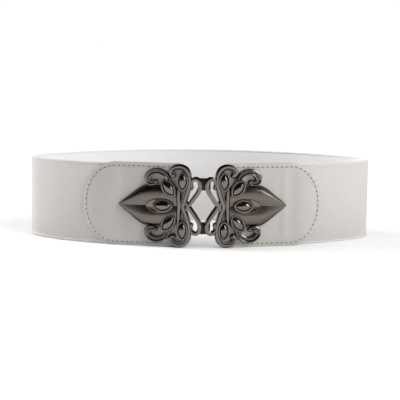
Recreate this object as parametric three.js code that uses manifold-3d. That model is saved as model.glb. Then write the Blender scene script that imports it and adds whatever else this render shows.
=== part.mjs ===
// A wide elastic waist belt, fastened and standing on its lower edge as a loop.
// Millimetres, +Z up. The clasp is at the front, towards -Y, and the loop is symmetrical about X = 0.
// Its pieces are a band of elastic webbing, two end panels of coated fabric folded round the clasp's bars,
// and the two halves of a cast metal clasp, the left one hooked behind the right one.

import * as THREE from 'three';
import { mergeVertices } from 'three/addons/utils/BufferGeometryUtils.js';
import Module from 'manifold-3d';

const wasm = await Module();
wasm.setup();

const { degToRad, lerp, smoothstep } = THREE.MathUtils;

// Loop: the path of the webbing's middle, from the front centre round one side to the back centre
const CLASP_BEND = degToRad(12);
const FLAT_PAST_LEAF_TIP = 1.6;
const FRONT_RADIUS = 110;
const FRONT_TURN = degToRad(36);
const SIDE_RADIUS = 34;
const SIDE_TURN = degToRad(84);

// Webbing and end panels
const WEBBING_WIDTH = 60;
const WEBBING_THICKNESS = 2;
const PANEL_PAST_WEBBING = 0.75;
const PANEL_LENGTH = 78;
const PANEL_ROUND_END = 25;
const PANEL_CORNER = 4;
const LEAF_THICKNESS = 1.2;
const CLEARANCE = 0.3;

// Clasp: each half is one casting, this long from the middle of the clasp to the leaf's tip
const CLASP_HALF_LENGTH = 62.4;
const CLASP_INSIDE_PANEL = 0.25;
const LEAF_RIM = 1.3;
const LEAF_CROWN = 3.4;
const SPINE_BAR = 4.4;
const SIDE_SCROLL_BAR = 5;
const INNER_BAR = 3.4;
const BRACKET_BAR = 3.2;
const SCROLL_RELIEF = 3.4;
const BRACKET_RELIEF = 2.8;
const BOSS_RELIEF = 6.2;
const LUG_WIDTH = 3;
const HOOK_PLATE = 1.8;
const HOOK_PLATE_HEIGHT = 9;
const HOOK_TONGUE = 1.1;
const HOOK_TONGUE_HEIGHT = 3.2;
const HOOK_TONGUE_RELIEF = 1.6;

// Sizes that follow from the ones above
const PANEL_WIDTH = WEBBING_WIDTH + 2 * PANEL_PAST_WEBBING;
const CLASP_HALF_HEIGHT = PANEL_WIDTH / 2 - CLASP_INSIDE_PANEL;
const FLAT_FRONT = CLASP_HALF_LENGTH + FLAT_PAST_LEAF_TIP;
const LEAF_OFFSET = WEBBING_THICKNESS / 2 + CLEARANCE + LEAF_THICKNESS / 2;
const FOLD_OUTSIDE = LEAF_OFFSET + LEAF_THICKNESS / 2;
const CASTING_BACK = FOLD_OUTSIDE + CLEARANCE;
const PANEL_MIDDLE = PANEL_WIDTH / 2;
// the strap bar stands behind the upright bosses, and its lugs are let into them
const STRAP_BAR_DIAMETER = WEBBING_THICKNESS;
const STRAP_BAR_OUT = CLASP_HALF_LENGTH * 0.241;
const LUG_UP = CLASP_HALF_HEIGHT * 0.74;
const PANEL_END = STRAP_BAR_OUT - FOLD_OUTSIDE + PANEL_LENGTH;
const WEBBING_START = STRAP_BAR_OUT + LUG_WIDTH / 2 + 2 * CLEARANCE;
// pieces of one casting are let this far into each other
const FUSED = 0.3;

// Triangles between each ring of points and the next
function sidesOf(ringCount, count) {
  const indices = [];
  for (let ring = 0; ring + 1 < ringCount; ring++) {
    for (let i = 0; i < count; i++) {
      const a = ring * count + i;
      const b = ring * count + (i + 1) % count;
      indices.push(a, b, b + count, a, b + count, a + count);
    }
  }
  return indices;
}

// A closed body along rings that each run out on one side and back on the other, so that the cap on the
// first and on the last ring is a strip between the two sides
function loft(rings) {
  const count = rings[0].length;
  const indices = sidesOf(rings.length, count);
  const last = (rings.length - 1) * count;
  for (let i = 0; i + 1 < count / 2; i++) {
    const j = count - 1 - i;
    indices.push(i, j, j - 1, i, j - 1, i + 1);
    indices.push(last + i, last + j - 1, last + j, last + i, last + i + 1, last + j - 1);
  }
  return closedGeometry(rings.flat(2), indices);
}

// A closed body of rings one above the other, with a fan of triangles over the first and the last
function stacked(rings) {
  const count = rings[0].length;
  const indices = sidesOf(rings.length, count);
  const last = (rings.length - 1) * count;
  for (let i = 1; i + 1 < count; i++) indices.push(0, i + 1, i, last, last + i, last + i + 1);
  return closedGeometry(rings.flat(2), indices);
}

function closedGeometry(positions, indices) {
  const geometry = new THREE.BufferGeometry();
  geometry.setAttribute('position', new THREE.Float32BufferAttribute(positions, 3));
  geometry.setIndex(indices);
  return facingOut(geometry);
}

// Turns a closed geometry's faces outwards, by the sign of the volume that they enclose
function facingOut(geometry) {
  const at = geometry.getAttribute('position');
  const index = geometry.getIndex().array;
  const corner = [new THREE.Vector3(), new THREE.Vector3(), new THREE.Vector3()];
  let volume = 0;
  for (let i = 0; i < index.length; i += 3) {
    corner.forEach((point, k) => point.fromBufferAttribute(at, index[i + k]));
    volume += corner[0].dot(corner[1].cross(corner[2]));
  }
  if (volume < 0) {
    for (let i = 0; i < index.length; i += 3) {
      [index[i + 1], index[i + 2]] = [index[i + 2], index[i + 1]];
    }
  }
  return geometry;
}

function solid(geometry) {
  const bare = geometry.clone();
  bare.deleteAttribute('normal');
  bare.deleteAttribute('uv');
  const merged = mergeVertices(bare, 1e-4);
  return new wasm.Manifold(new wasm.Mesh({
    numProp: 3,
    vertProperties: new Float32Array(merged.getAttribute('position').array),
    triVerts: new Uint32Array(merged.getIndex().array),
  }));
}

function geometryOf(manifold) {
  const mesh = manifold.getMesh();
  const geometry = new THREE.BufferGeometry();
  geometry.setAttribute('position', new THREE.Float32BufferAttribute(mesh.vertProperties, 3));
  geometry.setIndex(new THREE.Uint32BufferAttribute(mesh.triVerts, 1));
  return geometry;
}

const joined = solids => solids.reduce((whole, piece) => whole.add(piece));

// The belt's path in plan. The distance runs along the middle of the webbing from the front centre.
function arcStep(from, radius, turn) {
  const heading = from.heading + turn;
  return {
    x: from.x + radius * (Math.sin(heading) - Math.sin(from.heading)),
    y: from.y - radius * (Math.cos(heading) - Math.cos(from.heading)),
    heading,
  };
}

const flatStep = length =>
  ({ x: length * Math.cos(CLASP_BEND), y: length * Math.sin(CLASP_BEND), heading: CLASP_BEND });

const backStart = arcStep(arcStep(flatStep(FLAT_FRONT), FRONT_RADIUS, FRONT_TURN), SIDE_RADIUS, SIDE_TURN);
// the back arc is the one that meets its mirror image square at the back centre
const BACK_RADIUS = backStart.x / Math.sin(backStart.heading);
const ARCS = [
  { radius: FRONT_RADIUS, length: FRONT_RADIUS * FRONT_TURN, steps: 10 },
  { radius: SIDE_RADIUS, length: SIDE_RADIUS * SIDE_TURN, steps: 14 },
  { radius: BACK_RADIUS, length: BACK_RADIUS * (Math.PI - backStart.heading), steps: 12 },
];

function pathAt(distance) {
  let at = flatStep(Math.min(distance, FLAT_FRONT));
  let left = distance - FLAT_FRONT;
  for (const { radius, length } of ARCS) {
    if (left > 0) at = arcStep(at, radius, Math.min(left, length) / radius);
    left -= length;
  }
  return at;
}

// A ring across a strip: a rectangle of its thickness and height, offset from a point to one side
function stripRing(x, y, angle, offset, thickness, middle, halfHeight) {
  const at = depth => [x + Math.cos(angle) * depth, y + Math.sin(angle) * depth];
  const near = at(offset - thickness / 2);
  const far = at(offset + thickness / 2);
  const [low, high] = [middle - halfHeight, middle + halfHeight];
  return [[...far, low], [...far, high], [...near, high], [...near, low]];
}

// The same on the path, on its outside or, with a side of -1, on its inside
function pathRing(distance, side, offset, thickness, middle, halfHeight) {
  const { x, y, heading } = pathAt(distance);
  return stripRing(x, y, heading - side * Math.PI / 2, offset, thickness, middle, halfHeight);
}

// Elastic band. Its ends are sewn between the leaves of the panels, at their middle height, and it comes
// down to the ground behind, so that the belt stands on both panels and on the back of the band.
function elasticBand() {
  const grounded = FLAT_FRONT + ARCS[0].length + ARCS[1].length;
  const distances = [WEBBING_START, FLAT_FRONT];
  let from = FLAT_FRONT;
  for (const { length, steps } of ARCS) {
    for (let i = 1; i <= steps; i++) distances.push(from + length * i / steps);
    from += length;
  }
  const half = distances.map(distance => {
    const middle = lerp(PANEL_MIDDLE, WEBBING_WIDTH / 2, smoothstep(distance, PANEL_END, grounded));
    return pathRing(distance, 1, 0, WEBBING_THICKNESS, middle, WEBBING_WIDTH / 2);
  });
  const otherHalf = half.slice(0, -1).reverse().map(ring => ring.map(([x, y, z]) => [-x, y, z]));
  return loft([...half, ...otherHalf]);
}

// End panel: one strip of coated fabric with a round outer end and rounded corners, folded in half round
// the clasp's strap bar, with the webbing's end sewn between its leaves. Slots let the bar's lugs through.
function endPanel() {
  const halfWidth = PANEL_WIDTH / 2;
  const roundSteps = 9;
  const narrowestAngle = 0.12;
  const leaf = [];
  for (let i = 0; i <= roundSteps; i++) {
    const angle = lerp(narrowestAngle, Math.PI / 2, i / roundSteps);
    leaf.push({
      distance: PANEL_END - PANEL_ROUND_END * (1 - Math.cos(angle)),
      halfHeight: halfWidth * Math.sin(angle),
    });
  }
  if (FLAT_FRONT < PANEL_END - PANEL_ROUND_END) leaf.push({ distance: FLAT_FRONT, halfHeight: halfWidth });
  const cornerSteps = 4;
  for (let i = 0; i <= cornerSteps; i++) {
    const angle = Math.PI / 3 * i / cornerSteps;
    leaf.push({
      distance: STRAP_BAR_OUT + PANEL_CORNER * (1 - Math.sin(angle) / Math.sin(Math.PI / 3)),
      halfHeight: halfWidth - PANEL_CORNER * (1 - Math.cos(angle)),
    });
  }
  const leafRings = side => leaf.map(({ distance, halfHeight }) =>
    pathRing(distance, side, LEAF_OFFSET, LEAF_THICKNESS, PANEL_MIDDLE, halfHeight));
  const bar = pathAt(STRAP_BAR_OUT);
  const foldHalfHeight = leaf.at(-1).halfHeight;
  const foldSteps = 6;
  const fold = [];
  for (let i = 1; i < foldSteps; i++) {
    const angle = bar.heading - Math.PI / 2 - Math.PI * i / foldSteps;
    fold.push(stripRing(bar.x, bar.y, angle, LEAF_OFFSET, LEAF_THICKNESS, PANEL_MIDDLE, foldHalfHeight));
  }
  const strip = solid(loft([...leafRings(1), ...fold, ...leafRings(-1).reverse()]));
  const slotLength = FOLD_OUTSIDE + LUG_WIDTH / 2 + 2 * CLEARANCE;
  const slotDepth = CASTING_BACK + CLEARANCE;
  const slots = [1, -1].map(up => {
    const slot = new THREE.BoxGeometry(slotLength, slotDepth, LUG_WIDTH + 2 * CLEARANCE);
    slot.translate(STRAP_BAR_OUT + LUG_WIDTH / 2 + CLEARANCE - slotLength / 2,
      CLEARANCE - slotDepth / 2, PANEL_MIDDLE + up * LUG_UP);
    slot.rotateZ(CLASP_BEND);
    return solid(slot);
  });
  return geometryOf(slots.reduce((cut, slot) => cut.subtract(slot), strip));
}

// The casting is drawn flat: X runs out from the middle of the clasp, Y up from its axis, and Z out of
// the belt from the casting's back. Its outlines are shares of its half length and half height.
const outAt = share => share * CLASP_HALF_LENGTH;
const upAt = share => share * CLASP_HALF_HEIGHT;
const drawn = (rows, side = 1) => rows.map(({ out, up }) => new THREE.Vector2(outAt(out), side * upAt(up)));

// the middle lines of the upper scrolls, each from its free curl
const SPINE_SCROLL = [
  { out: 0.342, up: 0.735 }, { out: 0.369, up: 0.785 }, { out: 0.357, up: 0.875 },
  { out: 0.312, up: 0.924 }, { out: 0.250, up: 0.934 }, { out: 0.192, up: 0.872 },
  { out: 0.163, up: 0.731 }, { out: 0.158, up: 0.554 }, { out: 0.171, up: 0.377 },
  { out: 0.203, up: 0.170 }, { out: 0.230, up: 0 },
];
const SIDE_SCROLL = [
  { out: 0.548, up: 0.575 }, { out: 0.585, up: 0.545 }, { out: 0.625, up: 0.560 },
  { out: 0.648, up: 0.615 }, { out: 0.644, up: 0.700 }, { out: 0.604, up: 0.785 },
  { out: 0.546, up: 0.820 }, { out: 0.490, up: 0.803 }, { out: 0.436, up: 0.735 },
  { out: 0.403, up: 0.620 }, { out: 0.388, up: 0.500 },
];
const BRACKET_SCROLL = [
  { out: 0.123, up: 0.433 }, { out: 0.138, up: 0.531 }, { out: 0.122, up: 0.613 },
  { out: 0.078, up: 0.656 }, { out: 0.038, up: 0.603 }, { out: 0.027, up: 0.475 },
  { out: 0.048, up: 0.348 }, { out: 0.093, up: 0.207 }, { out: 0.172, up: -0.02 },
  { out: 0.200, up: -0.10 },
];
const INNER_SPINE = [{ out: 0.281, up: 0.46 }, { out: 0.274, up: 0 }, { out: 0.281, up: -0.46 }];
const BRACKET_CURL = BRACKET_SCROLL[0];
const BRACKET_EDGE = BRACKET_SCROLL[5];

// across and rise are shares of a bar's half width and of its relief
const BAR_SECTION = [
  { across: 1, rise: 0 }, { across: 1, rise: 0.45 }, { across: 0.55, rise: 1 },
  { across: -0.55, rise: 1 }, { across: -1, rise: 0.45 }, { across: -1, rise: 0 },
];

// A rounded bar along a drawn line, which narrows to these shares of its width at its ends
function scrollBar(points, steps, width, relief, firstEnd, lastEnd) {
  const curve = new THREE.SplineCurve(points);
  const rings = [];
  for (let i = 0; i <= steps; i++) {
    const share = i / steps;
    const at = curve.getPointAt(share);
    const along = curve.getTangentAt(share);
    const half = width / 2 * lerp(share < 0.5 ? firstEnd : lastEnd, 1, Math.sqrt(Math.sin(Math.PI * share)));
    rings.push(BAR_SECTION.map(({ across, rise }) =>
      [at.x - along.y * across * half, at.y + along.x * across * half, rise * relief]));
  }
  return solid(loft(rings));
}

// The round knob that a scroll's curl ends in
function knob({ out, up }, side, radius, relief) {
  const sides = 10;
  const shoulder = { across: 0.6, rise: 0.6 };
  const profile = [[0, 0], [radius, 0], [radius, relief * shoulder.rise], [radius * shoulder.across, relief],
    [0, relief]];
  const round = new THREE.LatheGeometry(profile.map(([x, y]) => new THREE.Vector2(x, y)), sides);
  round.rotateX(Math.PI / 2);
  round.translate(outAt(out), side * upAt(up), 0);
  return solid(round);
}

// Marquise bosses: a pointed oval outline drawn again and again, smaller and higher. The levels of a
// cabochon in its bezel are shares of the outline and of BOSS_RELIEF, and those of the plain plate too.
const CABOCHON_LEVELS = [
  { scale: 1, rise: 0.6 }, { scale: 0.9, rise: 0.75 }, { scale: 0.76, rise: 0.6 },
  { scale: 0.5, rise: 0.9 }, { scale: 0.2, rise: 1 },
];
const PLATE_LEVELS = [{ scale: 1, rise: 0.6 }, { scale: 0.92, rise: 0.74 }];
// long and wide are shares of the casting's half length
const SIDE_BOSSES = [
  { out: 0.227, up: 0.590, long: 0.230, wide: 0.144, tilt: degToRad(90), lift: 1, levels: CABOCHON_LEVELS },
  { out: 0.395, up: 0.422, long: 0.232, wide: 0.140, tilt: degToRad(52), lift: 1, levels: CABOCHON_LEVELS },
];
const CENTRE_BOSSES = [
  { out: 0.503, up: 0, long: 0.328, wide: 0.184, tilt: 0, lift: 1, levels: PLATE_LEVELS },
  { out: 0.463, up: 0, long: 0.248, wide: 0.164, tilt: 0, lift: 1.08, levels: CABOCHON_LEVELS },
];

function boss({ out, up, long, wide, tilt, lift, levels }, side) {
  const halfLength = outAt(long) / 2;
  const halfWidth = outAt(wide) / 2;
  const arcRadius = (halfLength ** 2 + halfWidth ** 2) / (2 * halfWidth);
  const arcSteps = 8;
  const outline = [];
  for (let i = 0; i < 2 * arcSteps; i++) {
    const x = halfLength * Math.cos(Math.PI * i / arcSteps);
    const y = Math.sqrt(arcRadius ** 2 - x ** 2) - (arcRadius - halfWidth);
    outline.push(new THREE.Vector2(x, i < arcSteps ? y : -y));
  }
  const origin = new THREE.Vector2();
  const ring = (scale, height) => outline.map(point => {
    const { x, y } = point.clone().multiplyScalar(scale).rotateAround(origin, side * tilt);
    return [x + outAt(out), y + side * upAt(up), height];
  });
  const upper = levels.map(({ scale, rise }) => ring(scale, rise * lift * BOSS_RELIEF));
  return solid(stacked([ring(1, 0), ...upper]));
}

// Spade leaf: a thin rim and two swelling lobes, with a valley between them that deepens from the tip.
// from is the share of the half length from the tip, up the half height there, and crown and valley the
// shares of LEAF_CROWN that the lobes rise and that the valley is cut down by.
const LEAF_STATIONS = [
  { from: 0, up: 0.01, crown: 0.15, valley: 0 }, { from: 0.05, up: 0.10, crown: 0.45, valley: 0.05 },
  { from: 0.12, up: 0.21, crown: 0.65, valley: 0.15 }, { from: 0.20, up: 0.345, crown: 0.8, valley: 0.3 },
  { from: 0.28, up: 0.455, crown: 0.95, valley: 0.5 }, { from: 0.34, up: 0.50, crown: 1, valley: 0.65 },
  { from: 0.42, up: 0.52, crown: 1, valley: 0.72 }, { from: 0.52, up: 0.51, crown: 0.9, valley: 0.75 },
  { from: 0.61, up: 0.46, crown: 0.75, valley: 0.65 }, { from: 0.70, up: 0.38, crown: 0.6, valley: 0.5 },
];
const LOBE_SECTION = [
  { across: 1, rise: 0 }, { across: 0.86, rise: 0.6 }, { across: 0.68, rise: 0.93 },
  { across: 0.48, rise: 1 }, { across: 0.26, rise: 0.8 },
];

function leaf() {
  const rings = LEAF_STATIONS.map(({ from, up, crown, valley }) => {
    const lobe = [...LOBE_SECTION, { across: 0, rise: 1 - valley }];
    const otherLobe = LOBE_SECTION.map(({ across, rise }) => ({ across: -across, rise })).reverse();
    const top = [...lobe, ...otherLobe].map(({ across, rise }) =>
      [outAt(1 - from), across * upAt(up), LEAF_RIM + LEAF_CROWN * crown * rise]);
    const back = top.map(([x, y]) => [x, y, 0]).reverse();
    return [...top, ...back];
  });
  return solid(loft(rings));
}

// Strap bar behind the casting, on the webbing's middle plane, held by a lug near each of its ends
function strapBar() {
  const radius = STRAP_BAR_DIAMETER / 2;
  const bar = new THREE.CylinderGeometry(radius, radius, 2 * LUG_UP + LUG_WIDTH, 12);
  bar.translate(STRAP_BAR_OUT, 0, -CASTING_BACK);
  return solid(bar);
}

function lug(side) {
  const block = new THREE.BoxGeometry(LUG_WIDTH, LUG_WIDTH, CASTING_BACK + FUSED);
  block.translate(STRAP_BAR_OUT, side * LUG_UP, (FUSED - CASTING_BACK) / 2);
  return solid(block);
}

function castHalf() {
  const spine = [...drawn(SPINE_SCROLL), ...drawn(SPINE_SCROLL.slice(0, -1), -1).reverse()];
  const solids = [
    leaf(),
    scrollBar(spine, 46, SPINE_BAR, SCROLL_RELIEF, 0.75, 0.75),
    scrollBar(drawn(INNER_SPINE), 6, INNER_BAR, SCROLL_RELIEF + FUSED, 1, 1),
    strapBar(),
    ...CENTRE_BOSSES.map(row => boss(row, 1)),
  ];
  for (const side of [1, -1]) {
    solids.push(
      scrollBar(drawn(SIDE_SCROLL, side), 22, SIDE_SCROLL_BAR, SCROLL_RELIEF, 0.6, 0.55),
      scrollBar(drawn(BRACKET_SCROLL, side), 18, BRACKET_BAR, BRACKET_RELIEF, 1, 1),
      knob(SPINE_SCROLL[0], side, SPINE_BAR / 2, SCROLL_RELIEF),
      knob(SIDE_SCROLL[0], side, SPINE_BAR / 2, SCROLL_RELIEF),
      lug(side),
      ...SIDE_BOSSES.map(row => boss(row, side)),
    );
  }
  return joined(solids);
}

// The left half's two hook plates pass behind the brackets, and a tongue on each comes forward through
// the eye of the right half's bracket scroll. They are drawn in plan, in the left half's own plane: X to
// the right from the middle of the clasp, and depth out of the belt from the middle of the webbing.
function hooks() {
  const bend = 2 * CLASP_BEND;
  const left = (out, depth) => new THREE.Vector2(-out, depth);
  const right = (out, depth) => new THREE.Vector2(
    out * Math.cos(bend) + depth * Math.sin(bend), depth * Math.cos(bend) - out * Math.sin(bend));
  const middle = depth => new THREE.Vector2(depth * Math.tan(CLASP_BEND), depth);
  const edge = outAt(BRACKET_EDGE.out);
  const barInside = edge + BRACKET_BAR / 2;
  const eyeMiddle = (edge + outAt(BRACKET_CURL.out)) / 2;
  const [near, far] = [eyeMiddle - HOOK_TONGUE / 2, eyeMiddle + HOOK_TONGUE / 2];
  const front = CASTING_BACK - CLEARANCE;
  const back = front - HOOK_PLATE;
  const plate = [
    left(barInside, back), left(barInside, CASTING_BACK + FUSED), left(edge, CASTING_BACK + FUSED),
    left(edge, front), middle(front), right(far, front), right(far, back), middle(back),
  ];
  const [low, top] = [back + FUSED, CASTING_BACK + HOOK_TONGUE_RELIEF];
  const tongue = [right(near, low), right(far, low), right(far, top), right(near, top)];
  // the eye is opposite the scroll's edge, and most of the plate is above that
  const tongueUp = upAt(BRACKET_EDGE.up);
  const plateUp = tongueUp + HOOK_TONGUE_HEIGHT / 2;
  return [1, -1].flatMap(side => [
    upright(plate, HOOK_PLATE_HEIGHT, side * plateUp),
    upright(tongue, HOOK_TONGUE_HEIGHT, side * tongueUp),
  ]);
}

// A plan outline as high as given, stood up about a height on the casting
function upright(outline, height, up) {
  const piece = new THREE.ExtrudeGeometry(new THREE.Shape(outline), { depth: height, bevelEnabled: false });
  piece.translate(0, 0, -height / 2);
  piece.rotateX(Math.PI / 2);
  piece.translate(0, up, -CASTING_BACK);
  return solid(piece);
}

const mirroredX = geometry => facingOut(geometry.clone().scale(-1, 1, 1));

// Materials, by their look in plain light
const webbing = new THREE.MeshStandardMaterial({ color: 0xcfcecb, roughness: 0.85, metalness: 0 });
const coatedFabric = new THREE.MeshStandardMaterial({ color: 0xb9b5b0, roughness: 0.45, metalness: 0.1 });
const blackNickel = new THREE.MeshStandardMaterial({ color: 0x6a6260, roughness: 0.28, metalness: 1 });

function named(name, geometry, material) {
  const mesh = new THREE.Mesh(geometry, material);
  mesh.name = name;
  return mesh;
}

// One clasp half, stood up on the belt's front and turned back by the bend at the clasp
function claspHalf(name, geometry, side) {
  const half = new THREE.Group();
  half.rotation.z = side * CLASP_BEND;
  const casting = named(name, geometry, blackNickel);
  casting.rotation.x = Math.PI / 2;
  casting.position.set(0, -CASTING_BACK, PANEL_MIDDLE);
  half.add(casting);
  return half;
}

const panel = endPanel();
const rightCasting = castHalf();
const leftCasting = joined([solid(mirroredX(geometryOf(rightCasting))), ...hooks()]);

const group = new THREE.Group();
group.add(named('elastic_band', elasticBand(), webbing));
group.add(named('right_panel', panel, coatedFabric));
group.add(named('left_panel', mirroredX(panel), coatedFabric));
group.add(claspHalf('right_buckle', geometryOf(rightCasting), 1));
group.add(claspHalf('left_buckle', geometryOf(leftCasting), -1));

// The origin is at the middle of the whole belt, on the ground
group.updateMatrixWorld(true);
const whole = new THREE.Box3().setFromObject(group, true);
group.position.set(0, -(whole.min.y + whole.max.y) / 2, 0);

export default group;
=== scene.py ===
from math import atan2, ceil, copysign, cos, pi, radians, sin, sqrt, tan

import bmesh
import bpy
from mathutils import Matrix, Vector


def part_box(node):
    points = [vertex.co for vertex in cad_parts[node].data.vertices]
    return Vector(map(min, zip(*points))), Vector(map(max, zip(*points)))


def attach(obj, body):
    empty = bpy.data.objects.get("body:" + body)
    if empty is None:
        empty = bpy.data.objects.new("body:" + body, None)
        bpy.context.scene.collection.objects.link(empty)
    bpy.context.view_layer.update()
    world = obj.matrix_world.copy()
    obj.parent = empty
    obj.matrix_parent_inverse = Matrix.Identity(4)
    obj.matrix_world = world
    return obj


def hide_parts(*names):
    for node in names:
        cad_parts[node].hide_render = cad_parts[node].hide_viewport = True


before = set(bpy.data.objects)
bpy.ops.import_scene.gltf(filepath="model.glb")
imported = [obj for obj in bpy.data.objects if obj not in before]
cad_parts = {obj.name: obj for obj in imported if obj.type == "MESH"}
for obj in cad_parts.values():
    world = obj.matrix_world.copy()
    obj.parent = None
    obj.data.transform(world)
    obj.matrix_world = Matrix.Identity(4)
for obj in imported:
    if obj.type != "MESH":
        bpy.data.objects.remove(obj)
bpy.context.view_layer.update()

# The camera stands a metre in front of the belt with a 115 mm lens, a little above its top edge, and leans
# just under a degree, as the photograph's does.
mm = 0.001
azimuth, elevation, lean = radians(-1.9), radians(7), radians(0.75)
turned_about, aim = Vector((0, -6 * mm, 30 * mm)), Vector((-0.2 * mm, -6 * mm, 27 * mm))
out_to_camera = Vector((sin(azimuth) * cos(elevation), -cos(azimuth) * cos(elevation), sin(elevation)))
lens = bpy.data.cameras.new("camera")
lens.lens = 115.4
lens.clip_start = 0.05
camera = bpy.data.objects.new("camera", lens)
bpy.context.scene.collection.objects.link(camera)
camera.location = turned_about + out_to_camera
looking = aim - camera.location
camera.rotation_mode = "QUATERNION"
camera.rotation_quaternion = (looking.to_track_quat("-Z", "Y")
                              @ Matrix.Rotation(lean, 3, "Z").to_quaternion())
bpy.context.scene.camera = camera
bpy.context.scene.view_settings.view_transform = "Standard"


def linear(colour):
    """An sRGB hex colour as the linear red, green, blue and alpha that Blender's sockets take."""
    channels = [int(colour[i:i + 2], 16) / 255 for i in (1, 3, 5)]
    return [c / 12.92 if c <= 0.04045 else ((c + 0.055) / 1.055) ** 2.4 for c in channels] + [1]


def add_node(tree, kind, inputs=None, **settings):
    """One shader node with its settings, its inputs given as values or as the sockets that feed them."""
    made = tree.nodes.new("ShaderNode" + kind)
    for name, value in settings.items():
        setattr(made, name, value)
    for name, value in (inputs or {}).items():
        if isinstance(value, bpy.types.NodeSocket):
            tree.links.new(value, made.inputs[name])
        else:
            made.inputs[name].default_value = value
    return made


def new_material(name, values):
    """A material whose shader has the given values on its own sockets."""
    made = bpy.data.materials.new(name)
    made.use_nodes = True
    for socket, value in values.items():
        made.node_tree.nodes["Principled BSDF"].inputs[socket].default_value = value
    return made


# The table is matt white card that runs past the view on every side.
card = bmesh.new()
bmesh.ops.create_circle(card, cap_ends=True, segments=64, radius=30)
card_mesh = bpy.data.meshes.new("table")
card.to_mesh(card_mesh)
card.free()
card_mesh.materials.append(new_material("matt white card", {
    "Base Color": linear("#e5e5e5"), "Roughness": 1, "Specular IOR Level": 0}))
table = bpy.data.objects.new("table", card_mesh)
bpy.context.scene.collection.objects.link(table)

# A pale room stands round it, lighter on the right, light at the belt's own height and dark overhead, so
# that polished metal mirrors light in front and dark above. Three wide soft lights light the cloth, from
# above, from the left side and from the front right, and a window on the right puts gleams on the metal.
world = bpy.data.worlds.new("pale room")
bpy.context.scene.world = world
world.use_nodes = True
room = world.node_tree
room.nodes.clear()
towards = add_node(room, "SeparateXYZ", {"Vector": add_node(room, "TexCoord").outputs["Generated"]})
walls = add_node(room, "MapRange", {"Value": towards.outputs["Z"], "From Min": 0.08, "From Max": 0.37,
                                    "To Min": 0.8, "To Max": 0.03},
                 interpolation_type="SMOOTHSTEP").outputs["Result"]
right_side = add_node(room, "MapRange", {"Value": towards.outputs["X"], "From Min": -0.45, "From Max": 0.4,
                                         "To Min": 0.4, "To Max": 1.05}).outputs["Result"]
walls = add_node(room, "Math", {0: walls, 1: right_side}, operation="MULTIPLY").outputs[0]
walls = add_node(room, "Background", {"Color": (1, 0.985, 0.97, 1), "Strength": walls})
backdrop = add_node(room, "Background", {"Color": (1, 1, 1, 1), "Strength": 1.05})
in_view = add_node(room, "LightPath").outputs["Is Camera Ray"]
add_node(room, "OutputWorld", {"Surface": add_node(
    room, "MixShader", {0: in_view, 1: walls.outputs[0], 2: backdrop.outputs[0]}).outputs[0]})

for name, source, strength, spread in (("light from above", (0, -0.2, 1), 2, 100),
                                       ("light from the left", (-1, 0.35, 0.35), 4.7, 40),
                                       ("light from the right", (0.9, -0.6, 0.5), 2.1, 60)):
    lamp = bpy.data.lights.new(name, "SUN")
    lamp.energy = strength
    lamp.angle = radians(spread)
    stand = bpy.data.objects.new(name, lamp)
    stand.rotation_mode = "QUATERNION"
    stand.rotation_quaternion = (-Vector(source)).to_track_quat("-Z", "Y")
    stand.visible_glossy = False
    bpy.context.scene.collection.objects.link(stand)
lamp = bpy.data.lights.new("window", "AREA")
lamp.shape = "RECTANGLE"
lamp.size = 0.45
lamp.size_y = 0.7
lamp.energy = 6
stand = bpy.data.objects.new("window", lamp)
stand.location = (1.04, -0.6, 0.66)
stand.rotation_mode = "QUATERNION"
stand.rotation_quaternion = (-stand.location).to_track_quat("-Z", "Y")
bpy.context.scene.collection.objects.link(stand)

# Elastic webbing, 60 mm wide: covered rubber threads and textured polyester yarn, woven in a small
# diagonal bird's-eye between two plain selvedges. One length goes round the waist, and both its ends are
# sewn into the end panels.
web_width, web_thick, selvedge = 60 * mm, 2 * mm, 1.9 * mm
panel_middle, web_start, panel_end = 30.75 * mm, 17.14 * mm, 90.54 * mm
clasp_bend, flat_front = radians(12), 64 * mm
# the radius and turn of each arc from the flat front to the side; a third then closes the loop behind
arcs = [(110 * mm, radians(36)), (34 * mm, radians(84))]


def arc_on(start, radius, turn):
    """Where a line in plan gets to along an arc, and its heading there."""
    x, y, heading = start
    return (x + radius * (sin(heading + turn) - sin(heading)),
            y - radius * (cos(heading + turn) - cos(heading)), heading + turn)


side_end = (flat_front * cos(clasp_bend), flat_front * sin(clasp_bend), clasp_bend)
for radius, turn in arcs:
    side_end = arc_on(side_end, radius, turn)
grounded = flat_front + sum(radius * turn for radius, turn in arcs)
arcs.append((side_end[0] / sin(side_end[2]), pi - side_end[2]))
half_round = flat_front + sum(radius * turn for radius, turn in arcs)


def path_at(distance):
    """The webbing's middle line in plan and its heading, at a distance to the right of the front centre."""
    flat = min(distance, flat_front)
    at = (flat * cos(clasp_bend), flat * sin(clasp_bend), clasp_bend)
    left = distance - flat_front
    for radius, turn in arcs:
        if left > 0:
            at = arc_on(at, radius, min(left / radius, turn))
        left -= radius * turn
    return at


front_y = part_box("elastic_band")[1][1] - web_thick / 2 - path_at(half_round)[1]


def round_the_waist(flat):
    """Where a point of a flat strip goes when the strip is bent to the loop. The strip lies with X along the
    belt from the front centre, Y into the loop and Z up."""
    distance, side = flat.x % (2 * half_round), 1
    if distance > half_round:
        distance, side = 2 * half_round - distance, -1
    x, y, heading = path_at(distance)
    return Vector((side * (x - sin(heading) * flat.y), front_y + y + cos(heading) * flat.y, flat.z))


def web_middle(x):
    """The height of the webbing's middle line: the panels' in front, and down on the table behind."""
    distance = min(x, 2 * half_round - x)
    share = min(max((distance - panel_end) / (grounded - panel_end), 0), 1)
    return panel_middle + share * share * (3 - 2 * share) * (web_width / 2 - panel_middle)


def whole(shape):
    return shape.verts[:] + shape.edges[:] + shape.faces[:]


def add_block(shape, middle, sizes):
    return bmesh.ops.create_cube(shape, size=1, matrix=Matrix.Translation(middle)
                                 @ Matrix.Diagonal((*sizes, 1)))["verts"]


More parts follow.
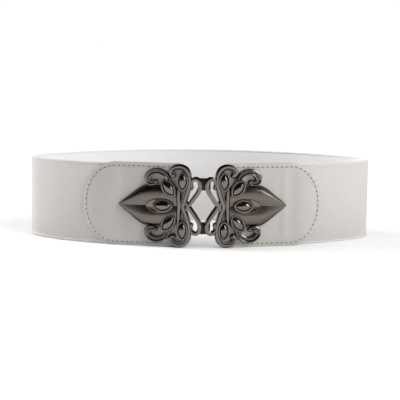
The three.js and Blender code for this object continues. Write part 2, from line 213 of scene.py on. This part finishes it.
def round_edges(shape, edges, radius, segments):
    bmesh.ops.bevel(shape, geom=edges, offset=radius, offset_type="OFFSET", segments=segments, profile=0.5,
                    affect="EDGES", material=-1)


def mark_flat(shape):
    """A UV map in metres of the flat strip, so that weave and grain keep their real size round the bends."""
    layer = shape.loops.layers.uv.new("UVMap")
    for face in shape.faces:
        for corner in face.loops:
            corner[layer].uv = (corner.vert.co.x, corner.vert.co.z)


def make_piece(name, shape, material, nodes=(), smooth=40):
    """The finished mesh as an object that rides on the belt, shaded smooth across edges below the angle."""
    mesh = bpy.data.meshes.new(name)
    shape.to_mesh(mesh)
    shape.free()
    mesh.materials.append(material)
    mesh.shade_smooth()
    mesh.set_sharp_from_angle(angle=radians(smooth))
    piece = bpy.data.objects.new(name, mesh)
    bpy.context.scene.collection.objects.link(piece)
    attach(piece, "root")
    if nodes:
        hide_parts(*nodes)
    return piece


strap_length = 2 * (half_round - web_start)
groove_half, groove_share, cut_every = 0.4 * mm, 0.72, 2.5 * mm


def lengthwise(shape):
    return [edge for edge in shape.edges if edge.calc_length() > strap_length / 2]


# a strip with rounded selvedges, each divided from the weave by a shallow groove
strap = bmesh.new()
add_block(strap, (half_round, 0, 0), (strap_length, web_thick, web_width))
round_edges(strap, lengthwise(strap), 0.8 * mm, 3)
for inset in (selvedge - groove_half, selvedge, selvedge + groove_half):
    for side in (1, -1):
        bmesh.ops.bisect_plane(strap, geom=whole(strap), dist=1e-7, plane_no=(0, 0, 1),
                               plane_co=(0, 0, side * (web_width / 2 - inset)))
for point in strap.verts:
    if abs(abs(point.co.z) - (web_width / 2 - selvedge)) < 1e-6:
        point.co.y *= groove_share
bmesh.ops.subdivide_edges(strap, edges=lengthwise(strap), cuts=ceil(strap_length / cut_every),
                          use_grid_fill=True)
mark_flat(strap)
lining = strap.verts.layers.float.new("inner_face")
for point in strap.verts:
    point[lining] = float(point.co.y > 0)
    point.co.z += web_middle(point.co.x)
    point.co = round_the_waist(point.co)

# Woven polyester: matt, with a faint sheen from the fibres. Its floats make a diagonal grid, 2.8 mm along
# the belt and 2.2 mm up it, with dark gaps between, and its fibres are drawn 0.5 mm coarse so as to show.
# The face next to the wearer is a little whiter than the silver-grey outer one.
float_long, float_high, fibre = 2.8 * mm, 2.2 * mm, 0.5 * mm
woven = new_material("woven elastic polyester", {
    "Roughness": 0.85, "Specular IOR Level": 0.3, "Sheen Weight": 0.3, "Sheen Roughness": 0.5})
tree = woven.node_tree
cloth = tree.nodes["Principled BSDF"]
uv = add_node(tree, "TexCoord").outputs["UV"]
wander = add_node(tree, "TexNoise", {"Vector": uv, "Scale": 1 / (9 * mm), "Detail": 2}).outputs["Color"]
wander = add_node(tree, "VectorMath", {0: wander, 1: (0.5, 0.5, 0.5)}, operation="SUBTRACT").outputs[0]
wander = add_node(tree, "VectorMath", {0: wander, "Scale": 1.1 * mm}, operation="SCALE").outputs[0]
yarns = add_node(tree, "VectorMath", {0: uv, 1: wander}, operation="ADD").outputs[0]
cells = add_node(tree, "VectorMath", {0: yarns, 1: (2 * pi / float_long, 2 * pi / float_high, 0)},
                 operation="MULTIPLY").outputs[0]
cells = add_node(tree, "SeparateXYZ", {"Vector": add_node(
    tree, "VectorMath", {0: cells}, operation="SINE").outputs[0]})
floats = add_node(tree, "Math", {0: cells.outputs["X"], 1: cells.outputs["Y"]},
                  operation="MULTIPLY").outputs[0]
up = add_node(tree, "SeparateXYZ", {"Vector": uv}).outputs["Y"]
from_middle = add_node(tree, "Math", {0: up}, operation="ABSOLUTE").outputs[0]
field = add_node(tree, "MapRange", {"Value": from_middle, "From Min": web_width / 2 - selvedge + 0.2 * mm,
                                    "From Max": web_width / 2 - selvedge - 0.2 * mm}).outputs["Result"]
floats = add_node(tree, "Math", {0: floats, 1: field}, operation="MULTIPLY").outputs[0]
fibres = add_node(tree, "TexNoise", {"Vector": yarns, "Scale": 1 / fibre, "Detail": 3,
                                     "Roughness": 0.7}).outputs["Fac"]
lit = add_node(tree, "MapRange", {"Value": floats, "From Min": -0.85, "From Max": 0.35},
               interpolation_type="SMOOTHSTEP").outputs["Result"]
outer = add_node(tree, "Mix", {"Factor": lit, "A": linear("#a09e9a"), "B": linear("#bab7b4")},
                 data_type="RGBA").outputs["Result"]
inner = add_node(tree, "Mix", {"Factor": lit, "A": linear("#cac9c7"), "B": linear("#d2d1d0")},
                 data_type="RGBA").outputs["Result"]
side = add_node(tree, "Attribute", attribute_name="inner_face").outputs["Fac"]
colour = add_node(tree, "Mix", {"Factor": side, "A": outer, "B": inner}, data_type="RGBA").outputs["Result"]
speckle = add_node(tree, "MapRange", {"Value": fibres, "From Min": 0.3, "From Max": 0.7, "To Min": 0.88,
                                      "To Max": 1.08}).outputs["Result"]
colour = add_node(tree, "VectorMath", {0: colour, "Scale": speckle}, operation="SCALE").outputs[0]
tree.links.new(colour, cloth.inputs["Base Color"])
relief = add_node(tree, "Math", {0: floats, 1: 0.75, 2: fibres}, operation="MULTIPLY_ADD").outputs[0]
flatter = add_node(tree, "MapRange", {"Value": side, "To Min": 1, "To Max": 0.3}).outputs["Result"]
relief = add_node(tree, "Math", {0: relief, 1: flatter}, operation="MULTIPLY").outputs[0]
relief = add_node(tree, "Bump", {"Height": relief, "Strength": 0.9, "Distance": 0.25 * mm}).outputs[0]
tree.links.new(relief, cloth.inputs["Normal"])
make_piece("elastic_webbing", strap, woven, ["elastic_band"])

# End panels: one strip each of coated fabric, 61.5 mm wide with round ends, folded in half round the
# clasp's strap bar so that the webbing's end lies between its leaves. Two slots let the bar's lugs
# through, and the sewing pulls a shallow channel along the edge.
panel_width, round_end, leaf_thick, leaf_offset = 61.5 * mm, 25 * mm, 1.2 * mm, 1.9 * mm
strap_bar_out, lug_up, lug_width, clearance = 15.04 * mm, 22.57 * mm, 3 * mm, 0.3 * mm
seam_inset, channel_half, channel_deep = 2.5 * mm, 0.9 * mm, 0.25 * mm
slot_from, slot_to, slot_half = -0.4 * mm, 5.1 * mm, 1.8 * mm
fold_corner = 4 * mm
half_fold = pi / 2 * leaf_offset
panel_reach = panel_end - strap_bar_out + half_fold


def folded(flat):
    """A point of a flat strip whose middle is the fold, once it is folded and bent to the loop. Y runs into
    the strip from the face that ends up outside."""
    past_bar = abs(flat.x) - half_fold
    radius = leaf_offset - flat.y
    if past_bar > 0:
        along, depth = strap_bar_out + past_bar, copysign(radius, -flat.x)
    else:
        angle = (half_fold - flat.x) / leaf_offset
        along, depth = strap_bar_out - radius * sin(angle), -radius * cos(angle)
    return round_the_waist(Vector((along, depth, flat.z + panel_middle)))


def stands_off(flat, waves):
    """How far the outer leaf stands off between its seams, in waves that rise from a crease to a crest and
    fall away slowly. Each is given by the places of the three along the leaf, and its rise."""
    total = 0
    for crease, crest, end, rise in waves:
        if crease < flat.x <= crest:
            total += rise * sin(pi / 2 * (flat.x - crease) / (crest - crease))
        elif crest < flat.x < end:
            total += rise * (0.5 + 0.5 * cos(pi * (flat.x - crest) / (end - crest)))
    return (1 - (2 * flat.z / panel_width) ** 4) * total


def cut_panel(waves):
    """The panel as one sheet, cut out with round ends, channelled, slotted, raised in waves and folded."""
    strip = bmesh.new()
    segments, fine_cuts, wide_cuts, fine_to = 66, 0.6 * mm, 1.3 * mm, 6 * mm
    bmesh.ops.create_circle(strip, cap_ends=True, segments=segments, radius=1)
    bmesh.ops.rotate(strip, verts=strip.verts, matrix=Matrix.Rotation(pi / segments, 3, "Z"))
    bmesh.ops.scale(strip, verts=strip.verts, vec=(round_end, panel_width / 2 / cos(pi / segments), 1))
    for point in strip.verts:
        point.co.x += copysign(panel_reach - round_end, point.co.x)
    bmesh.ops.rotate(strip, verts=strip.verts, matrix=Matrix.Rotation(pi / 2, 3, "X"))
    sewn = strip.verts.layers.float.new("sewn")
    field = strip.faces[:]
    for outline, width in enumerate((seam_inset - channel_half, channel_half, channel_half)):
        bmesh.ops.inset_region(strip, faces=field, thickness=width, depth=0, use_even_offset=True)
        if outline == 1:
            for point in field[0].verts:
                point[sewn] = 1
    x = -panel_reach + channel_half
    while x < panel_reach:
        bmesh.ops.bisect_plane(strip, geom=whole(strip), dist=1e-7, plane_co=(x, 0, 0), plane_no=(1, 0, 0))
        x += fine_cuts if abs(x) < fine_to else wide_cuts
    for z in (lug_up - slot_half, lug_up + slot_half, slot_half - lug_up, -slot_half - lug_up):
        bmesh.ops.bisect_plane(strip, geom=whole(strip), dist=1e-7, plane_co=(0, 0, z), plane_no=(0, 0, 1))
    slots = [face for face in strip.faces if slot_from < face.calc_center_median().x < slot_to
             and abs(abs(face.calc_center_median().z) - lug_up) < slot_half]
    bmesh.ops.delete(strip, geom=slots, context="FACES")
    mark_flat(strip)
    for point in strip.verts:
        near_fold = 1 - min(max((abs(point.co.x) - half_fold) / fold_corner, 0), 1)
        point.co.z *= 1 - fold_corner * (1 - sqrt(1 - 0.75 * near_fold ** 2)) / (panel_width / 2)
        point.co.y = channel_deep * point[sewn] - leaf_thick / 2 - stands_off(point.co, waves)
        point.co = folded(point.co)
    return strip


def mirrored(shape):
    other = shape.copy()
    bmesh.ops.scale(other, verts=other.verts, vec=(-1, 1, 1))
    bmesh.ops.reverse_faces(other, faces=other.faces)
    return other


# Coated fabric: a smooth polyurethane skin on cloth, satin, with a fine leather-like grain 0.7 mm across
# and a cloudy warm grey, with painted shade making it a little darker in the channel that the thread pulls
# down.
coated = new_material("polyurethane coated fabric", {"Roughness": 0.36, "Specular IOR Level": 0.8})
tree = coated.node_tree
skin = tree.nodes["Principled BSDF"]
uv = add_node(tree, "TexCoord").outputs["UV"]
clouds = add_node(tree, "TexNoise", {"Vector": uv, "Scale": 1 / (14 * mm), "Detail": 3}).outputs["Fac"]
colour = add_node(tree, "Mix", {"Factor": clouds, "A": linear("#a29f9b"), "B": linear("#aeaba7")},
                  data_type="RGBA").outputs["Result"]
# painted shade: the base colour is a tenth darker on the sewn channel
painted_channel_shade = add_node(tree, "Attribute", attribute_name="sewn").outputs["Fac"]
painted_channel_shade = add_node(tree, "MapRange", {"Value": painted_channel_shade, "To Min": 1, "To Max": 0.9}).outputs["Result"]
colour = add_node(tree, "VectorMath", {0: colour, "Scale": painted_channel_shade}, operation="SCALE").outputs[0]
tree.links.new(colour, skin.inputs["Base Color"])
grain = add_node(tree, "TexVoronoi", {"Vector": uv, "Scale": 1 / (0.7 * mm)},
                 feature="F1").outputs["Distance"]
fine = add_node(tree, "TexNoise", {"Vector": uv, "Scale": 1 / (3 * mm), "Detail": 4}).outputs["Fac"]
grain = add_node(tree, "Math", {0: fine, 1: 2.5, 2: grain}, operation="MULTIPLY_ADD").outputs[0]
grain = add_node(tree, "Bump", {"Height": grain, "Strength": 0.25, "Distance": 0.1 * mm}).outputs[0]
tree.links.new(grain, skin.inputs["Normal"])

# each wave's crease, crest and end, from the fold, and its rise
right_waves = [(46 * mm, 49 * mm, 53 * mm, 0.5 * mm), (56 * mm, 63 * mm, 76 * mm, 1 * mm)]
left_waves = [(48.5 * mm, 57 * mm, 76 * mm, 1.6 * mm), (33 * mm, 37 * mm, 44 * mm, 0.3 * mm)]
for name, strip, node in (("right_end_panel", cut_panel(right_waves), "right_panel"),
                          ("left_end_panel", mirrored(cut_panel(left_waves)), "left_panel")):
    panel = make_piece(name, strip, coated, [node])
    leaf = panel.modifiers.new("leaf thickness", "SOLIDIFY")
    leaf.thickness = leaf_thick
    leaf.offset = -1
    edge = panel.modifiers.new("turned edge", "BEVEL")
    edge.width = 0.35 * mm
    edge.segments = 2
    edge.limit_method = "ANGLE"
    edge.angle_limit = radians(50)

# Stitches: grey polyester thread, 2.9 mm long and 3.7 mm apart, sewn through both leaves and the webbing.
# Each lies in its channel between two needle holes, and on the right panel they slant a little. Each
# hole is drawn as a small dark flattened shape, which is painted shade for the hole's depth.
seam_pitch, seam_up = 3.7 * mm, panel_width / 2 - seam_inset
thread = new_material("polyester sewing thread", {"Base Color": linear("#a5a29c"), "Roughness": 0.7})
needle_hole_shade = new_material("painted shade of needle hole", {"Base Color": linear("#4a4642"), "Roughness": 0.9})


def spaced_along(line, pitch):
    """Places along a line of close points, a pitch apart, with the line's direction there."""
    walked, due = 0, pitch / 2
    for here, there in zip(line, line[1:]):
        walked += (there - here).length
        if walked >= due:
            yield there, (there - here).normalized()
            due += pitch


def seam_line():
    """The seam in close points, from near the fold round the panel's end and back to the fold."""
    straight, start, step = panel_reach - round_end, 6 * mm, 0.2 * mm
    along = [start + i * step for i in range(int((straight - start) / step))]
    around = [pi / 2 - pi * i / 400 for i in range(401)]
    return ([Vector((x, 0, seam_up)) for x in along]
            + [Vector((straight + (round_end - seam_inset) * cos(a), 0, seam_up * sin(a))) for a in around]
            + [Vector((x, 0, -seam_up)) for x in reversed(along)])


def sewn_row(waves, slant, half_sizes, on, depth):
    """One small rounded shape a stitch on both leaves: on says how far along its pitch, in shares of it."""
    row = bmesh.new()
    for at, along in spaced_along(seam_line(), seam_pitch):
        at = at + along * on * seam_pitch
        for side in (1, -1):
            turn = Matrix.Rotation(-atan2(along.z, side * along.x) + slant, 4, "Y")
            bmesh.ops.create_uvsphere(row, u_segments=8, v_segments=5, radius=1, matrix=Matrix.Translation(
                (side * at.x, depth - leaf_thick / 2, at.z)) @ turn @ Matrix.Diagonal((*half_sizes, 1)))
    for point in row.verts:
        point.co.y -= stands_off(point.co, waves)
        point.co = folded(point.co)
    return row


for name, waves, slant in (("right", right_waves, radians(12)), ("left", left_waves, 0)):
    sewn = sewn_row(waves, slant, (1.45 * mm, 0.2 * mm, 0.27 * mm), 0, 0.12 * mm)
    # painted shade: small dark flattened shapes stand in for the shade inside the needle holes
    hole_shades = sewn_row(waves, 0, (0.6 * mm, 0.07 * mm, 0.48 * mm), 0.5, 0.2 * mm)
    if name == "left":
        sewn, hole_shades = mirrored(sewn), mirrored(hole_shades)
    make_piece(name + "_panel_stitches", sewn, thread)
    make_piece(name + "_panel_needle_hole_shades", hole_shades, needle_hole_shade)

# Clasp: each half is one zinc alloy casting, polished and plated in black nickel. A spade leaf of two
# swelling lobes points back along the panel, with a valley between them that deepens from the tip.
half_length, half_height, casting_back = 62.4 * mm, 30.5 * mm, 2.8 * mm
stood_up = Matrix(((cos(clasp_bend), 0, sin(clasp_bend), casting_back * sin(clasp_bend)),
                   (sin(clasp_bend), 0, -cos(clasp_bend), front_y - casting_back * cos(clasp_bend)),
                   (0, 1, 0, panel_middle), (0, 0, 0, 1)))


def black_nickel(name, finest, roughest, face):
    """Cast zinc, polished and plated in black nickel: a warm grey mirror with a slight ripple left by the
    polishing wheel, uneven in its gloss, and nearly black in the recesses that the wheel can't reach."""
    made = new_material(name, {"Metallic": 1})
    tree = made.node_tree
    plate = tree.nodes["Principled BSDF"]
    place = add_node(tree, "TexCoord").outputs["Object"]
    shelter = add_node(tree, "AmbientOcclusion", {"Distance": 0.7 * mm}, samples=8).outputs["AO"]
    shelter = add_node(tree, "MapRange", {"Value": shelter, "From Min": 0.1,
                                          "From Max": 0.6}).outputs["Result"]
    colour = add_node(tree, "Mix", {"Factor": shelter, "A": linear("#2b2725"), "B": linear(face)},
                      data_type="RGBA").outputs["Result"]
    tree.links.new(colour, plate.inputs["Base Color"])
    smudge = add_node(tree, "TexNoise", {"Vector": place, "Scale": 1 / (6 * mm), "Detail": 3}).outputs["Fac"]
    gloss = add_node(tree, "MapRange", {"Value": smudge, "From Min": 0.3, "From Max": 0.7, "To Min": finest,
                                        "To Max": roughest}).outputs["Result"]
    tree.links.new(gloss, plate.inputs["Roughness"])
    waves = add_node(tree, "TexNoise", {"Vector": place, "Scale": 1 / (2.5 * mm), "Detail": 2})
    ripple = add_node(tree, "Bump", {"Height": waves.outputs["Fac"], "Strength": 0.15,
                                     "Distance": 0.1 * mm}).outputs[0]
    tree.links.new(ripple, plate.inputs["Normal"])
    return made


polished = black_nickel("polished black nickel plate", 0.09, 0.2, "#756e69")
satin = black_nickel("satin black nickel plate", 0.26, 0.38, "#6e6762")


def smooth_at(rows, place):
    """A smooth curve through rows of numbers, at a place counted in rows from the first."""
    i = min(int(place), len(rows) - 2)
    before, here, there, after = rows[max(i - 1, 0)], rows[i], rows[i + 1], rows[min(i + 2, len(rows) - 1)]
    t = place - i
    return (2 * here + (there - before) * t + (2 * before - 5 * here + 4 * there - after) * t ** 2
            + (3 * here - before - 3 * there + after) * t ** 3) / 2


def points_of(made):
    return [part for part in made if isinstance(part, bmesh.types.BMVert)]


def extruded(shape, edges):
    """Extrudes a loop of edges where it is, and gives the new loop's points and edges."""
    made = bmesh.ops.extrude_edge_only(shape, edges=edges)["geom"]
    ring = points_of(made)
    return ring, [part for part in made if isinstance(part, bmesh.types.BMEdge)
                  and part.verts[0] in ring and part.verts[1] in ring]


def both_halves(name, shape, material=polished, smooth=40):
    """The casting's own plane is X out from the clasp's middle, Y up and Z out of the belt. This stands a
    piece of the right half up on the belt, and makes its mirror image for the left half."""
    bmesh.ops.remove_doubles(shape, verts=shape.verts, dist=1e-6)
    bmesh.ops.recalc_face_normals(shape, faces=shape.faces)
    shape.transform(stood_up)
    left = mirrored(shape)
    make_piece("right_" + name, shape, material, ["right_buckle"], smooth)
    make_piece("left_" + name, left, material, ["left_buckle"], smooth)


# from the tip as a share of the half length, half width as a share of the half height, crown, valley
leaf_rows = [Vector(row) for row in (
    (0, 0.004, 0.1, 0), (0.02, 0.045, 0.25, 0), (0.05, 0.10, 0.45, 0.05), (0.12, 0.21, 0.65, 0.15),
    (0.20, 0.345, 0.8, 0.3), (0.28, 0.455, 0.95, 0.5), (0.34, 0.50, 1, 0.65), (0.42, 0.52, 1, 0.72),
    (0.52, 0.51, 0.9, 0.75), (0.61, 0.46, 0.75, 0.65), (0.70, 0.38, 0.6, 0.5))]
leaf_rim, leaf_crown = 1.3 * mm, 3.4 * mm
lobe_crest, edge_from, edge_rise = 0.46, 0.94, 0.1
leaf = bmesh.new()
bmesh.ops.create_grid(leaf, x_segments=60, y_segments=100, size=1)
for point in leaf.verts:
    from_tip, half_wide, crown, valley = smooth_at(leaf_rows, (point.co.x + 1) / 2 * (len(leaf_rows) - 1))
    across = abs(point.co.y)
    if across > edge_from:
        rise = edge_rise * sin(pi * (across - edge_from) / (1 - edge_from))
    elif across > lobe_crest:
        rise = 1 - ((across - lobe_crest) / (edge_from - lobe_crest)) ** 3
    else:
        rise = 1 - valley * (1 - across / lobe_crest) ** 1.5
    point.co = ((1 - from_tip) * half_length, point.co.y * half_wide * half_height,
                leaf_rim + leaf_crown * crown * rise)
border = [edge for edge in leaf.edges if edge.is_boundary]
for point in points_of(bmesh.ops.extrude_edge_only(leaf, edges=border)["geom"]):
    point.co.z = 0
bmesh.ops.edgeloop_fill(leaf, edges=[edge for edge in leaf.edges if edge.is_boundary])
both_halves("clasp_leaf", leaf, satin, 30)

# Scrolls, cast with the leaf: the spine, with a thin rim along its inside, curls outwards above and below,
# and the side scrolls over the leaf are grooved. The inner spine, and the bracket of two scrolls that meets
# the other half's, are plain round bars. Each curl ends in a round knob.
# places across a bar, as shares of its half width, and their heights as shares of its relief
double_ridge = [(1, 0), (1, 0.55), (0.86, 0.9), (0.58, 1), (0.3, 0.9), (0.08, 0.62), (-0.08, 0.62),
                (-0.3, 0.9), (-0.58, 1), (-0.86, 0.9), (-1, 0.55), (-1, 0)]
rim_inside = [(1, 0), (1, 0.68), (0.86, 0.98), (0.66, 0.95), (0.54, 0.66), (0.4, 0.66), (0.22, 0.97),
              (-0.25, 1.04), (-0.7, 0.94), (-1, 0.55), (-1, 0)]
half_round_bar = [(1, 0), (0.97, 0.4), (0.84, 0.68), (0.6, 0.88), (0.3, 0.98), (0, 1), (-0.3, 0.98),
                  (-0.6, 0.88), (-0.84, 0.68), (-0.97, 0.4), (-1, 0)]
plain_round = [(1, 0), (1, 0.5), (0.85, 0.85), (0.5, 1), (0, 1.04), (-0.5, 1), (-0.85, 0.85), (-1, 0.5),
               (-1, 0)]


def drawn(*rows):
    """A line through places given as shares of the casting's half length and half height."""
    return [Vector((out * half_length, up * half_height, 0)) for out, up in rows]


def draw_bar(shape, points, section, width, relief, first_end=1, last_end=1, steps=7):
    """Draws a section along a smooth line. The bar narrows to the given shares at its ends, and gets lower
    there by less than half as much."""
    count = (len(points) - 1) * steps
    line = [smooth_at(points, i / steps) for i in range(count + 1)]
    frames = []
    for i, at in enumerate(line):
        along = (line[min(i + 1, count)] - line[max(i - 1, 0)]).normalized()
        end = first_end if 2 * i < count else last_end
        size = end + (1 - end) * sqrt(max(sin(pi * i / count), 0))
        frames.append(Matrix(((along.x, -along.y * size * width / 2, 0, at.x),
                              (along.y, along.x * size * width / 2, 0, at.y),
                              (0, 0, relief * (0.6 + 0.4 * size), 0), (0, 0, 0, 1))))
    ring = [shape.verts.new(frames[0] @ Vector((0, across, rise))) for across, rise in section]
    edges = [shape.edges.new((ring[i - 1], ring[i])) for i in range(len(ring))]
    shape.faces.new(ring)
    for before, here in zip(frames, frames[1:]):
        ring, edges = extruded(shape, edges)
        bmesh.ops.transform(shape, verts=ring, matrix=here @ before.inverted())
    bmesh.ops.edgeloop_fill(shape, edges=edges)


def put_knob(shape, at, radius, relief):
    """The knob that a scroll ends in, an upright ball that stands a little higher than the relief."""
    centre, half_tall = relief * 0.45, relief * 0.62
    bmesh.ops.create_uvsphere(shape, u_segments=18, v_segments=12, radius=1, matrix=Matrix.Translation(
        (at.x, at.y, centre)) @ Matrix.Diagonal((radius, radius, half_tall, 1)))


def whole_line(upper_half):
    """A line that is drawn to the middle of the casting, taken on into its mirror image below."""
    return upper_half + [Vector((at.x, -at.y, 0)) for at in reversed(upper_half[:-1])]


def mirror_down(shape):
    """Adds the lower half of a casting to its upper half."""
    made = bmesh.ops.duplicate(shape, geom=whole(shape))["geom"]
    bmesh.ops.scale(shape, verts=points_of(made), vec=(1, -1, 1))


spine_points = drawn((0.342, 0.735), (0.369, 0.785), (0.357, 0.875), (0.312, 0.924), (0.250, 0.934),
                     (0.192, 0.872), (0.163, 0.731), (0.158, 0.554), (0.171, 0.377), (0.203, 0.170),
                     (0.230, 0))
inner_spine_points = drawn((0.281, 0.46), (0.274, 0), (0.281, -0.46))
side_points = drawn((0.548, 0.575), (0.585, 0.545), (0.625, 0.560), (0.648, 0.615), (0.644, 0.700),
                    (0.604, 0.785), (0.546, 0.820), (0.490, 0.803), (0.436, 0.735), (0.403, 0.620),
                    (0.388, 0.500))
bracket_points = drawn((0.123, 0.433), (0.138, 0.531), (0.122, 0.613), (0.078, 0.656), (0.038, 0.603),
                       (0.027, 0.475), (0.048, 0.348), (0.093, 0.207), (0.172, -0.02), (0.200, -0.10))
scrolls = bmesh.new()
draw_bar(scrolls, side_points, double_ridge, 5.1 * mm, 3.5 * mm, 0.6, 0.55)
draw_bar(scrolls, bracket_points, plain_round, 3.5 * mm, 2.8 * mm, 0.8, 1)
put_knob(scrolls, spine_points[0], 2.1 * mm, 3.3 * mm)
put_knob(scrolls, side_points[0], 1.75 * mm, 3.3 * mm)
put_knob(scrolls, bracket_points[0], 1.35 * mm, 2.7 * mm)
mirror_down(scrolls)
draw_bar(scrolls, whole_line(spine_points), rim_inside, 4.3 * mm, 3.5 * mm, 0.8, 0.8)
draw_bar(scrolls, inner_spine_points, half_round_bar, 3.5 * mm, 3.8 * mm, 0.7, 0.7)
both_halves("clasp_scrolls", scrolls)

# Marquise bosses, cast with the scrolls: a pointed oval rim, a groove and a smooth domed stone shape. The
# middle one stands on a pointed eye plate, and it and the slanting ones have a ring of beads round the rim.
# levels of a rim, as how far in and how high, and of the stone inside it, as what width is left and how high
plain_bezel = [(0, 0.6), (0.02, 0.7), (0.06, 0.755), (0.24, 0.765), (0.28, 0.73), (0.3, 0.6), (0.33, 0.56)]
beaded_bezel = [(0, 0.6), (0.06, 0.66), (0.1, 0.75), (0.25, 0.765), (0.28, 0.73), (0.3, 0.6), (0.33, 0.56)]
eye_plate = [(0, 0.6), (0.03, 0.7), (0.07, 0.745), (0.13, 0.75), (0.18, 0.71), (0.24, 0.68)]
dome = [(0.99, 0.62), (0.95, 0.7), (0.87, 0.78), (0.74, 0.86), (0.57, 0.92), (0.38, 0.967), (0.18, 0.993)]
# a boss's middle, as shares of the half length and half height, its length and width as shares of the half
# length, and its turn in degrees
upright_boss, slanting_boss = (0.227, 0.590, 0.230, 0.144, 90), (0.395, 0.422, 0.238, 0.156, 52)
middle_plate, middle_boss = (0.503, 0, 0.328, 0.184, 0), (0.463, 0, 0.248, 0.164, 0)
boss_height = 6.2 * mm
middle_height, pointed = boss_height * 1.08, 1.35
bead_pitch, bead_radius, bead_up = 1 * mm, 0.46 * mm, 0.67


def marquise(shape, place, rim, stone, height):
    """A pointed oval, drawn up through the levels of its rim, which say how far it has gone in as a share
    of its half width, and those of its stone, which are shares of the rim's last outline. All give their
    height as a share too."""
    out, up, long, wide, tilt = place
    half_long, half_wide = long * half_length / 2, wide * half_length / 2
    sizes = [(1, 1, 0)] + [(1 - gone_in * wide / long, 1 - gone_in, rise) for gone_in, rise in rim]
    sizes += [(sizes[-1][0] * share, sizes[-1][1] * share, rise) for share, rise in stone]
    made = bmesh.ops.create_circle(shape, cap_ends=True, segments=48, radius=1)["verts"]
    for point in made:
        across = copysign(abs(point.co.x) ** pointed, point.co.x)
        point.co.x, point.co.y = point.co.y * half_long, across * half_wide
    edges = list({edge for point in made for edge in point.link_edges})
    base = list(made)
    for before, here in zip(sizes, sizes[1:]):
        ring, edges = extruded(shape, edges)
        bmesh.ops.scale(shape, verts=ring, vec=(here[0] / before[0], here[1] / before[1], 1))
        bmesh.ops.translate(shape, verts=ring, vec=(0, 0, (here[2] - before[2]) * height))
        base += ring
    bmesh.ops.edgeloop_fill(shape, edges=edges)
    bmesh.ops.transform(shape, verts=base, matrix=Matrix.Translation(
        (out * half_length, up * half_height, 0)) @ Matrix.Rotation(radians(tilt), 4, "Z"))


def bead_ring(shape, place, height):
    """Round beads along the outer edge of a boss's rim, part sunk into it."""
    out, up, long, wide, tilt = place
    gone_in = 0.04 * wide * half_length / 2
    half_long, half_wide = long * half_length / 2 - gone_in, wide * half_length / 2 - gone_in
    outline = [Vector((cos(a) * half_long, copysign(abs(sin(a)) ** pointed, sin(a)) * half_wide, 0))
               for a in (2 * pi * i / 720 for i in range(721))]
    turned = Matrix.Translation((out * half_length, up * half_height, bead_up * height)) @ Matrix.Rotation(
        radians(tilt), 4, "Z")
    for at, along in spaced_along(outline, bead_pitch):
        bmesh.ops.create_icosphere(shape, subdivisions=2, radius=bead_radius,
                                   matrix=turned @ Matrix.Translation(at))


bosses = bmesh.new()
marquise(bosses, upright_boss, plain_bezel, dome, boss_height)
marquise(bosses, slanting_boss, beaded_bezel, dome, boss_height)
bead_ring(bosses, slanting_boss, boss_height)
mirror_down(bosses)
marquise(bosses, middle_plate, eye_plate, [], boss_height)
marquise(bosses, middle_boss, beaded_bezel, dome, middle_height)
bead_ring(bosses, middle_boss, middle_height)
both_halves("clasp_bosses", bosses)

# Back of the clasp: a round strap bar on two lugs, which the panel is folded round, and on the left half
# two hook plates, each with a tongue that comes forward through the eye of the right half's bracket. All
# of it is plated with the casting, but nothing polishes it, so it stays dull, and its colour is darkened
# nearly to black as painted shade for the shade it stands in behind the clasp.
# painted shade: the near-black base colour stands in for the shade behind the clasp
dull_plate_in_painted_shade = new_material("dull black nickel plate in painted shade", {
    "Base Color": linear("#3d3936"), "Metallic": 1, "Roughness": 0.45})
strap_bar_thick = 2 * mm
bars = bmesh.new()
bmesh.ops.create_cone(bars, cap_ends=True, segments=24, radius1=strap_bar_thick / 2,
                      radius2=strap_bar_thick / 2, depth=2 * lug_up + lug_width,
                      matrix=Matrix.Translation((strap_bar_out, 0, -casting_back))
                      @ Matrix.Rotation(pi / 2, 4, "X"))
for side in (1, -1):
    add_block(bars, (strap_bar_out, side * lug_up, 0.05 * mm - casting_back / 2),
              (lug_width, lug_width, casting_back + 0.1 * mm))
both_halves("strap_bar", bars, dull_plate_in_painted_shade)

plate_thick, plate_height, plate_left, plate_right = 1.8 * mm, 9 * mm, 3.2 * mm, 5.2 * mm
plate_up, tongue_thick = 16.1 * mm, 1.1 * mm
tongue_out, tongue_up, tongue_height, tongue_relief = 4.7 * mm, 14.5 * mm, 3.2 * mm, 1.6 * mm
for name, side in (("upper", 1), ("lower", -1)):
    plate = bmesh.new()
    add_block(plate, ((plate_right - plate_left) / 2, 0, 0),
              (plate_left + plate_right, plate_thick, plate_height))
    round_edges(plate, plate.edges[:], 0.3 * mm, 2)
    bmesh.ops.bisect_plane(plate, geom=whole(plate), dist=1e-7, plane_co=(0, 0, 0), plane_no=(1, 0, 0))
    plate_y = front_y - (casting_back - clearance - plate_thick / 2) / cos(clasp_bend)
    bmesh.ops.translate(plate, verts=plate.verts, vec=(0, plate_y, panel_middle + side * plate_up))
    tongue = add_block(plate, (tongue_out, front_y - casting_back / cos(clasp_bend),
                               panel_middle + side * tongue_up),
                       (tongue_thick, 2 * tongue_relief, tongue_height))
    round_edges(plate, list({edge for point in tongue for edge in point.link_edges}), 0.2 * mm, 2)
    for point in plate.verts:
        point.co.y += abs(point.co.x) * tan(clasp_bend)
    make_piece(name + "_hook_plate", plate, dull_plate_in_painted_shade, ["left_buckle"])
